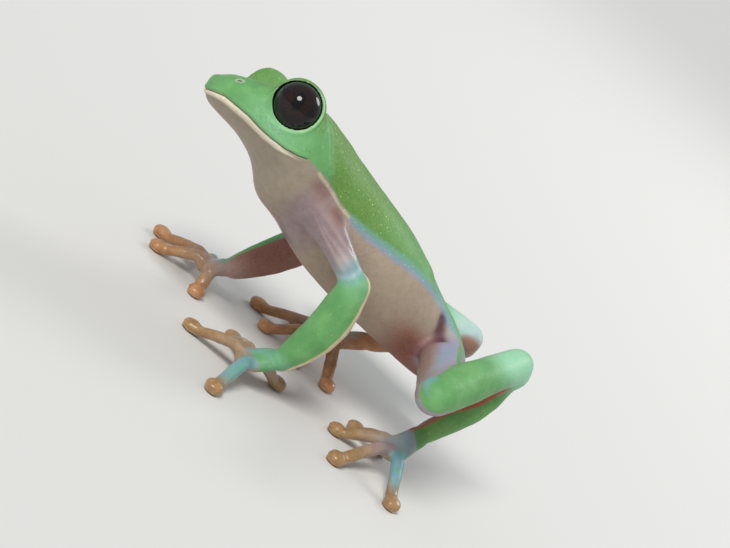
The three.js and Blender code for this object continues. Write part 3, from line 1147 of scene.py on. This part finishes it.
pale_line, red_line = everywhere(-1), everywhere(-1)
for side in sides:
    forearm, hand, tarsus = bones_of(side, "forearm", "hand", "tarsus")
    for bone, past_end in ((forearm, -forearm.along - 1.0), (hand, hand.along - 2.5)):
        edge = frill_half - np.abs(bone.front_turn + frill_turn) * bone.radius - off_bone(bone)
        pale_line = np.maximum(pale_line, edge - smooth(past_end))
    edge = fold_half - np.abs(before_fold(tarsus) + fold_shift) - 0.15 * (1 - tarsus.share)
    red_line = np.maximum(red_line, edge - off_bone(tarsus) - right_thinning[side])
marks["pale_line"], marks["red_line"] = pale_line, red_line
piping = piping_half - np.abs(green_edge(share, height) + piping_shift) - 2 * (1 - body_weight)
piping_ends = ramp(share, starts=0.42, over=0.06) + fade(share, ends=0.3, over=0.05)
marks["piping"] = piping - 2 * piping_ends
print("fine lines cover", int((np.maximum(pale_line, red_line) > 0).sum()), "points")

# %% Warm back, cool cheeks, pale joints, painted highlights on the heels
on_back = ramp(share - back_from, starts=-0.01, over=0.04) * fade(share, ends=0.78, over=0.35)
on_crown = ramp(height, starts=3.2, over=1.4) * fade(share, ends=0.3, over=0.05)
marks["warm"] = (np.maximum(on_back, 0.6 * on_crown) + 0.5 * bump(roll_near, 0.7)) * body_weight
marks["cool"] = bump(share - 0.155, 0.075) * fade(height, ends=3.0, over=2.5) * body_weight
for side in sides:
    forearm, shank, tarsus = bones_of(side, "forearm", "shank", "tarsus")
    # Pale mint round each heel, partly a painted highlight.
    marks["pale"] += bump(tarsus.along, 3.4) * (tarsus.weight + shank.weight)
    marks["pale"] += 0.5 * bump(forearm.along, 2.4) * forearm.weight
    marks["warm"] += 0.8 * tarsus.weight * tarsus.share
right_heel_gap = distance_to(bones["tarsus_right"][0])
# A pale painted highlight on the green round the right heel.
marks["frost_highlight"] += 0.9 * bump(right_heel_gap, 4.6) * ramp(green, starts=-1.0, over=1.2)
marks["nostril_rim"] = bump(nostril_gap - 0.52, 0.22)
# The sheen is a painted highlight of pale flecks on the cheek below the eye; the second part adds real pale
# dots along the cheek fold.
sheen = bump(share - 0.14, 0.05) * bump(mouth - 1.2, 0.8)
marks["sheen"] = (sheen + 0.35 * bump(cheek_gap - 0.3, 0.2)) * body_weight
print(len(marks), "marks in all")

# %% Store the marks on the skin and stand it in the room


def stand(name, data):
    """A new object in the room, made from a mesh, a lamp or a camera."""
    thing = bpy.data.objects.new(name, data)
    bpy.context.scene.collection.objects.link(thing)
    return thing


for name, values in marks.items():
    attribute = skin_mesh.attributes.new(name, "FLOAT", "POINT")
    attribute.data.foreach_set("value", np.asarray(values, np.float32))
place_points(skin_mesh, raised_points * mm)
skin_mesh.shade_smooth()
skin = stand("skin", skin_mesh)
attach(skin, "root")
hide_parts(*flesh)
print("skin rides on root in place of", len(flesh), "solids")

# %% [markdown]
# ## Frog-skin shader
# Frog skin is thin, damp and slightly see-through: light goes in, scatters and comes out warmer, and a film
# of moisture shines on top. The Principled shader has all of these. Colours are laid over each other in the
# order in which one hides the next, each with its mark as the mask.

# %% Helpers for building shaders


def new_material(name):
    material = bpy.data.materials.new(name)
    material.use_nodes = True
    return material, material.node_tree, material.node_tree.nodes["Principled BSDF"]


# Every helper below adds its node to the tree that is in hand, first the skin's and later the eye's.
skin_material, tree, shader = new_material("damp_skin")


def set_inputs(node, inputs):
    for name, value in inputs.items():
        if isinstance(value, bpy.types.NodeSocket):
            tree.links.new(value, node.inputs[name])
        else:
            node.inputs[name].default_value = value


def add_node(kind, inputs, **settings):
    node = tree.nodes.new(kind)
    for name, value in settings.items():
        setattr(node, name, value)
    set_inputs(node, inputs)
    return node


print("the damp skin starts with", len(tree.nodes), "nodes")

# %% Helpers for sums and patterns


def maths(operation, *values):
    return add_node("ShaderNodeMath", dict(enumerate(values)), operation=operation).outputs[0]


def plus(first, second):
    return maths("ADD", first, second)


def times(first, *others):
    for other in others:
        first = maths("MULTIPLY", first, other)
    return first


def mark_of(name):
    return add_node("ShaderNodeAttribute", {}, attribute_name=name).outputs["Fac"]


def own_place():
    return add_node("ShaderNodeTexCoord", {}).outputs["Object"]


def noise(size, detail=2.0, roughness=0.5):
    inputs = {"Scale": 1 / (size * mm), "Detail": detail, "Roughness": roughness, "Vector": own_place()}
    return add_node("ShaderNodeTexNoise", inputs).outputs["Fac"]


def pebbles(size, feature="F1"):
    inputs = {"Scale": 1 / (size * mm), "Vector": own_place()}
    return add_node("ShaderNodeTexVoronoi", inputs, feature=feature).outputs["Distance"]


def step(value, low, high, to_low=0.0, to_high=1.0):
    inputs = {"Value": value, "From Min": low, "From Max": high, "To Min": to_low, "To Max": to_high}
    return add_node("ShaderNodeMapRange", inputs, interpolation_type="SMOOTHSTEP").outputs["Result"]


print("patterns and sums are ready")

# %% Helpers for mixing colours
mix_factor, mix_first, mix_second, mix_result = 0, 6, 7, 2


def mixed(factor, first, second, blend="MIX"):
    inputs = {mix_factor: factor, mix_first: first, mix_second: second}
    node = tree.nodes.new("ShaderNodeMix")
    node.data_type, node.blend_type = "RGBA", blend
    set_inputs(node, inputs)
    return node.outputs[mix_result]


def tone(red, green, blue):
    """A colour from its everyday 0 to 255 numbers, turned into the light that the shader works in."""
    shares = [value / 255 for value in (red, green, blue)]
    return tuple(s / 12.92 if s <= 0.04045 else ((s + 0.055) / 1.055) ** 2.4 for s in shares) + (1.0,)


def strength(name, low, high):
    return step(mark_of(name), low, high)


print("a mid green is", [round(value, 3) for value in tone(115, 175, 112)])

# %% [markdown]
# No patch of skin is one flat colour. Each paint is a pair of close tones, mixed by a pattern: fine flecks,
# broad patches or stretched strands. The table names each paint for the mark that it colours.

# %% Mix the paints
wander = maths("SUBTRACT", noise(0.9, 3.0), 0.5)
flecks = noise(0.32, 3.0, 0.65)
patches = noise(3.2, 2.0)
strands = noise(1.4, 4.0, 0.6)
paint_pairs = {
    "belly": ((178, 160, 142), (170, 152, 133), strands),
    "throat": ((159, 147, 130), (151, 139, 122), strands),
    "blush": ((128, 74, 60), (150, 92, 74), flecks),
    "lilac": ((152, 133, 134), (140, 120, 123), strands),
    "sinew_and_highlight": ((204, 184, 178), (190, 168, 163), flecks),
    "violet": ((134, 152, 182), (160, 148, 172), patches),
    "orange": ((168, 138, 96), (144, 112, 74), strands),
    "ember": ((206, 148, 102), (178, 122, 80), strands),
    "mist_and_painted_light": ((184, 192, 192), (168, 184, 186), flecks),
    "leaf": ((111, 170, 104), (93, 154, 90), patches),
    "warm": ((114, 151, 72), (91, 134, 56), flecks),
    "cool": ((140, 204, 148), (118, 188, 124), flecks),
    "pale": ((160, 214, 180), (142, 202, 162), flecks),
    "turquoise": ((114, 168, 156), (120, 162, 176), strands),
    "frost_highlight": ((196, 214, 214), (178, 198, 208), patches),
    "stripe_low": ((146, 160, 184), (130, 160, 178), patches),
    "stripe_high": ((104, 166, 132), (112, 168, 148), patches),
    "piping": ((186, 168, 148), (206, 194, 166), flecks),
    "pale_line": ((224, 206, 172), (204, 186, 152), flecks),
    "red_line": ((192, 106, 78), (168, 90, 66), flecks),
    "plum_shade": ((104, 72, 82), (90, 60, 66), flecks),
    "lip": ((234, 226, 204), (216, 206, 182), flecks),
    "rim": ((172, 214, 166), (144, 196, 140), flecks),
}


print(len(paint_pairs), "pairs of tones")

# %% Lay the bare skin


def two_tone(first, second, pattern):
    return mixed(step(pattern, 0.3, 0.7), tone(*first), tone(*second))


def edge_mask(name, low, high, wobble):
    """A mask with an edge that wanders a little, as far as the wobble says."""
    return step(plus(mark_of(name), times(wander, wobble * 2)), low, high)


paint = {name: two_tone(*pair) for name, pair in paint_pairs.items()}
colour = mixed(mark_of("throat"), paint["belly"], paint["throat"])
# The pale paint of the arm's streaks, and of the patch above the elbow, is partly painted highlight.
lilac_with_sinew_highlights = mixed(times(mark_of("sinew_and_highlight"), 0.6), paint["lilac"], paint["sinew_and_highlight"])
bare_layers = (
    ("blush", 0.05, 0.95, paint["blush"]),
    ("lilac", 0.0, 0.9, lilac_with_sinew_highlights),
    ("violet", 0.0, 0.9, paint["violet"]),
    ("orange", 0.0, 0.95, paint["orange"]),
    ("ember", 0.0, 1.0, paint["ember"]),
    ("mist_and_painted_light", 0.0, 1.0, paint["mist_and_painted_light"]),
)
for name, low, high, layer in bare_layers:
    colour = mixed(strength(name, low, high), colour, layer)
print(len(tree.nodes), "nodes so far")

# %% Lay the greens and the turquoise
leaf = mixed(times(mark_of("warm"), 0.85), paint["leaf"], paint["warm"])
leaf = mixed(times(mark_of("cool"), 0.75), leaf, paint["cool"])
leaf = mixed(strength("pale", 0.0, 1.0), leaf, paint["pale"])
on_lilac = step(mark_of("lilac"), 0.2, 0.8, 0.0, 0.8)
fringe = times(edge_mask("green", -0.9, 0.35, wobble=0.35), on_lilac)
colour = mixed(fringe, colour, paint["turquoise"])
colour = mixed(edge_mask("green", -0.22, 0.36, wobble=0.25), colour, leaf)
colour = mixed(strength("turquoise", 0.05, 1.05), colour, paint["turquoise"])
# Pale painted highlights on the elbows and the right heel.
colour = mixed(strength("frost_highlight", 0.0, 1.0), colour, paint["frost_highlight"])
print(len(tree.nodes), "nodes so far")

# %% [markdown]
# The flank stripe turns from lilac-blue at its lower edge to teal where it meets the green, and pale glints
# lie scattered in it. The glints are the middles of small random cells, kept only where the strands allow.

# %% Lay the flank stripe with its glints
band = times(edge_mask("stripe", -0.5, 0.45, wobble=0.4), step(flecks, 0.25, 0.6, 0.8, 1.0))
stripe = mixed(strength("stripe_rise", 0.15, 0.85), paint["stripe_low"], paint["stripe_high"])
glint = times(step(pebbles(0.7), 0.26, 0.1), step(strands, 0.45, 0.55, 0.0, 0.7))
stripe = mixed(glint, stripe, tone(196, 216, 220))
colour = mixed(band, colour, stripe)
print(len(tree.nodes), "nodes so far")

# %% Draw the fine lines, lips and rims
line_layers = (("piping", -0.15, 0.3, 0.25), ("pale_line", -0.06, 0.1, 0.05), ("red_line", -0.12, 0.1, 0.1))
head_layers = (("lip", -0.22, 0.2, 0.1), ("rim", -0.12, 0.12, 0.06))
for name, low, high, wobble in line_layers:
    colour = mixed(edge_mask(name, low, high, wobble), colour, paint[name])
# Painted shade: dark plum in the hollows and on the inner thigh.
colour = mixed(strength("plum_shade", 0.0, 1.0), colour, paint["plum_shade"])
for name, low, high, wobble in head_layers:
    colour = mixed(edge_mask(name, low, high, wobble), colour, paint[name])
colour = mixed(mark_of("nostril_rim"), colour, tone(176, 196, 160))
# Painted sheen: pale flecks on the cheek below the eye, with real pale dots along the cheek fold.
sheen = times(mark_of("sheen"), step(flecks, 0.45, 0.6, 0.05, 0.55))
colour = mixed(sheen, colour, tone(168, 216, 190))
print(len(tree.nodes), "nodes so far")

# %% [markdown]
# The back is dusted with pale specks of two sizes. Each speck is the middle of a random cell, and a slower
# noise thins them out, so that they come in loose groups and never in rows. They grow stronger on the warm
# back.

# %% Scatter specks, paint shade into the mouth's crease and the nostrils, darken pores
speck_kinds = ((0.5, 0.22, 0.06, 0.75), (0.8, 0.2, 0.08, 0.9))
group_size = 2.6
for size, low, high, amount in speck_kinds:
    dots = times(step(pebbles(size), low, high), edge_mask("green", 0.3, 0.8, wobble=0.25))
    groups = step(noise(group_size * size), 0.44, 0.54, 0.0, amount)
    warmth = plus(times(mark_of("warm"), 0.65), 0.35)
    colour = mixed(times(dots, groups, warmth), colour, tone(196, 210, 138))
# Painted shade in the mouth's crease and the nostrils' openings.
colour = mixed(strength("slit_shade", -0.04, 0.03), colour, tone(84, 92, 60))
colour = mixed(strength("hole", -0.08, 0.1), colour, tone(34, 34, 26))
pores = step(flecks, 0.28, 0.45, 0.87, 1.0)
shade = add_node("ShaderNodeCombineColor", {channel: pores for channel in range(3)}).outputs[0]
colour = mixed(1.0, colour, shade, "MULTIPLY")
set_inputs(shader, {"Base Color": colour})
print(len(tree.nodes), "nodes so far")

# %% [markdown]
# Last come the grain, which is small pebbles with dust between them, and the damp. Bare lilac and orange
# skin is wetter, shinier and more see-through than the green, so one mask drives roughness, coat and
# scatter together.

# %% Damp shine, scatter and grain
grain = plus(times(pebbles(0.42), 0.7), times(noise(0.22, 3.0, 0.6), 0.7))
grain = times(grain, plus(times(mark_of("warm"), 0.9), 0.5))
bare = step(mark_of("green"), -0.3, 0.3, 1.0, 0.0)
belly_grain = times(pebbles(0.85, "SMOOTH_F1"), bare, 0.5)
grain_inputs = {"Height": plus(grain, belly_grain), "Strength": 0.5, "Distance": 0.09 * mm}
fine_bump = add_node("ShaderNodeBump", grain_inputs).outputs["Normal"]
wet = times(step(plus(mark_of("lilac"), mark_of("orange")), 0.2, 1.0), bare)
dampness = maths("SUBTRACT", step(flecks, 0.3, 0.7, 0.48, 0.64), times(wet, 0.22))
set_inputs(shader, {
    "Roughness": dampness, "Normal": fine_bump, "IOR": 1.4,
    "Subsurface Weight": step(wet, 0.0, 1.0, 0.15, 0.4), "Subsurface Radius": (1.0, 0.6, 0.4),
    "Subsurface Scale": 0.8 * mm, "Coat Weight": step(wet, 0.0, 1.0, 0.03, 0.5),
    "Coat Roughness": 0.12, "Coat IOR": 1.36,
})
skin_mesh.materials.append(skin_material)
print(len(tree.nodes), "nodes in the skin")

# %% [markdown]
# ## Eyes
# This frog's eye is so dark that it looks black: a deep maroon iris with an upright pupil, under a wet
# clear film that takes the highlights. A full glass dome is the other way, but over so dark an eye it only
# adds noise, so the film is a clear coat on the ball, and the front of the ball swells a little as a cornea
# does.

# %% Turn a profile into rings of points and faces
turns = 96
merge_distance = 0.002


def eye_axes(side):
    gaze = Vector(gaze_of(side))
    rise = Vector(body_up)
    rise = (rise - gaze * rise.dot(gaze)).normalized()
    return gaze, rise, rise.cross(gaze)


def ring_faces(rows):
    faces = []
    for row in range(rows - 1):
        here, there = row * turns, (row + 1) * turns
        for turn in range(turns):
            after = (turn + 1) % turns
            faces.append((here + turn, there + turn, there + after, here + after))
    faces.append(tuple(range(turns)))
    faces.append(tuple((rows - 1) * turns + turn for turn in reversed(range(turns))))
    return faces


def merge_poles(mesh):
    with editing(mesh) as bm:
        bmesh.ops.remove_doubles(bm, verts=bm.verts, dist=merge_distance * mm)
        bmesh.ops.recalc_face_normals(bm, faces=bm.faces)


print("one ring has", turns, "points")

# %% Turn a profile into an eye


def turned(name, profile, side):
    gaze, rise, across = eye_axes(side)
    corners, places = [], []
    for ahead, beside in profile:
        for turn in range(turns):
            angle = 2 * math.pi * turn / turns
            flat_across, flat_rise = beside * math.cos(angle), beside * math.sin(angle)
            corners.append(Vector(eye_centres[side]) + gaze * ahead + across * flat_across + rise * flat_rise)
            places.append((flat_across, flat_rise, ahead))
    mesh = bpy.data.meshes.new(name)
    mesh.from_pydata([corner * mm for corner in corners], [], ring_faces(len(profile)))
    attribute = mesh.attributes.new("eye_place", "FLOAT_VECTOR", "POINT")
    attribute.data.foreach_set("vector", np.array(places, np.float32).ravel())
    merge_poles(mesh)
    mesh.shade_smooth()
    return stand(name, mesh)


pinpoint = 0.0005
ring_count = 64
ball_radius = eye_radius - eye_room
swelling, swelling_width = 0.16, 0.9
ball_profile = []
for angle in np.linspace(pinpoint, math.pi - pinpoint, ring_count):
    radius = ball_radius + swelling * math.exp(-((angle / swelling_width) ** 2))
    ball_profile.append((radius * math.cos(angle), radius * math.sin(angle)))
print("the ball has", turns * len(ball_profile), "points")

# %% [markdown]
# The iris is drawn in the eye's own flat measure: how far across, how far up, and from those the ring and
# the spoke that a point is on. Noise that is stretched along the spokes gives fibres, and the pupil is a
# tall oval.

# %% Colour the ball
ball_material, tree, ball_shader = new_material("dark_iris")
spoke_count, ring_pull, fibre_scale = 7.0, 0.35, 1.6
pupil_narrowing = 1.9
place = add_node("ShaderNodeAttribute", {}, attribute_name="eye_place").outputs["Vector"]
parts = add_node("ShaderNodeSeparateXYZ", {0: place}).outputs
across, rise = parts["X"], parts["Y"]


def length_of(first, second):
    return maths("SQRT", plus(maths("POWER", first, 2.0), maths("POWER", second, 2.0)))


spoke = maths("ARCTAN2", rise, across)
ring = length_of(across, rise)
wheel_parts = {0: times(spoke, spoke_count), 1: times(ring, ring_pull), 2: 0.0}
wheel = add_node("ShaderNodeCombineXYZ", wheel_parts).outputs[0]
fibre_inputs = {"Vector": wheel, "Scale": fibre_scale, "Detail": 2.0}
fibres = add_node("ShaderNodeTexNoise", fibre_inputs).outputs["Fac"]
pupil_gap = length_of(times(across, pupil_narrowing), rise)
iris = mixed(step(fibres, 0.3, 0.7), tone(12, 8, 8), tone(42, 22, 19))
iris = mixed(step(ring, 1.6, 2.7), iris, tone(10, 8, 8))
iris = mixed(step(pupil_gap, 1.5, 1.35), iris, tone(4, 4, 5))
fibre_bump = add_node("ShaderNodeBump", {"Height": fibres, "Strength": 0.2, "Distance": 0.03 * mm})
set_inputs(ball_shader, {
    "Base Color": iris, "Roughness": step(fibres, 0.2, 0.8, 0.4, 0.6), "IOR": 1.1,
    "Normal": fibre_bump.outputs["Normal"], "Coat Weight": 1.0, "Coat Roughness": 0.025, "Coat IOR": 1.38,
})
print(len(tree.nodes), "nodes in the eye")

# %% Set the eyes in their rooms
for side in sides:
    ball = turned(f"eyeball_{side}", ball_profile, side)
    ball.data.materials.append(ball_material)
    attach(ball, "root")
    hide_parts(f"eye_{side}")
print("eyes in place")

# %% [markdown]
# ## Floor, light and camera
# The frog stands on a plain pale floor. A broad sun, its disc wide enough for soft shadows, is the main
# light; a disc lamp fills the shaded side and a second one draws a thin bright rim. The frog was climbing a
# slope, so the camera is tilted about its line of view, and the body keeps the same lie in the frame on a
# level floor.

# %% Set the floor
floor_reach = 12.0
floor_tone = (0.72, 0.72, 0.7, 1)
floor_roughness = 0.7


def flat_floor():
    mesh = bpy.data.meshes.new("floor")
    corners = [(-floor_reach, -floor_reach, 0), (floor_reach, -floor_reach, 0)]
    corners += [(floor_reach, floor_reach, 0), (-floor_reach, floor_reach, 0)]
    mesh.from_pydata(corners, [], [(0, 1, 2, 3)])
    return stand("floor", mesh)


floor = flat_floor()
floor_paint, tree, floor_shader = new_material("pale_floor")
set_inputs(floor_shader, {"Base Color": floor_tone, "Roughness": floor_roughness})
floor.data.materials.append(floor_paint)
print("floor", 2 * floor_reach, "m wide")

# %% Place the camera
view_azimuth, view_elevation = math.radians(66), math.radians(15)
view_tilt = math.radians(40)
view_distance = 0.2868
sensor_width, lens = 36.0, 96.16
nearest, farthest = 0.01, 60
aim = (frame_low + frame_high) / 2 + Vector((-0.00115, 0.0049, -0.00008))
flat_reach = math.cos(view_elevation)
back = Vector((
    math.sin(view_azimuth) * flat_reach, -math.cos(view_azimuth) * flat_reach, math.sin(view_elevation),
))
level = Vector((math.cos(view_azimuth), math.sin(view_azimuth), 0))
upright = back.cross(level)
right = level * math.cos(view_tilt) + upright * math.sin(view_tilt)
up = upright * math.cos(view_tilt) - level * math.sin(view_tilt)
camera = stand("camera", bpy.data.cameras.new("camera"))
camera.data.sensor_width, camera.data.lens = sensor_width, lens
camera.data.clip_start, camera.data.clip_end = nearest, farthest
facing = Matrix((right, up, back)).transposed().to_4x4()
camera.matrix_world = Matrix.Translation(aim + back * view_distance) @ facing
bpy.context.scene.camera = camera
print("camera", [round(part / mm) for part in camera.location], "mm")

# %% Hang the lights
sun_power, sun_width = 2.3, math.radians(22)
room_tone, room_power = (0.75, 0.77, 0.8, 1), 0.55


def hang(name, light, direction, distance, colour):
    light.color = colour
    lamp = stand(name, light)
    away = Vector(direction).normalized()
    lamp.location = aim + away * distance
    lamp.rotation_mode = "QUATERNION"
    lamp.rotation_quaternion = away.to_track_quat("Z", "Y")
    return lamp


def soft_light(name, direction, distance, size, power, colour):
    light = bpy.data.lights.new(name, "AREA")
    light.shape = "DISK"
    light.size = size
    light.energy = power
    return hang(name, light, direction, distance, colour)


sun = bpy.data.lights.new("key", "SUN")
sun.energy, sun.angle = sun_power, sun_width
to_sun = up * 0.55 + back * 0.8 + right * 0.2
to_fill = back * 0.9 - right * 0.7 - up * 0.1
to_rim = right * 0.9 + up * 0.3 - back * 0.5
hang("key", sun, to_sun, distance=1.0, colour=(1.0, 0.98, 0.95))
fill = soft_light("fill", to_fill, distance=0.9, size=0.7, power=1.2, colour=(0.95, 0.98, 1.0))
fill.visible_glossy = False
soft_light("rim", to_rim, distance=0.8, size=0.3, power=1.4, colour=(1.0, 1.0, 1.0))
world = bpy.data.worlds.new("room")
world.use_nodes = True
world.node_tree.nodes["Background"].inputs["Color"].default_value = room_tone
world.node_tree.nodes["Background"].inputs["Strength"].default_value = room_power
bpy.context.scene.world = world
bpy.context.scene.view_settings.view_transform = "Standard"
print("three soft lights")
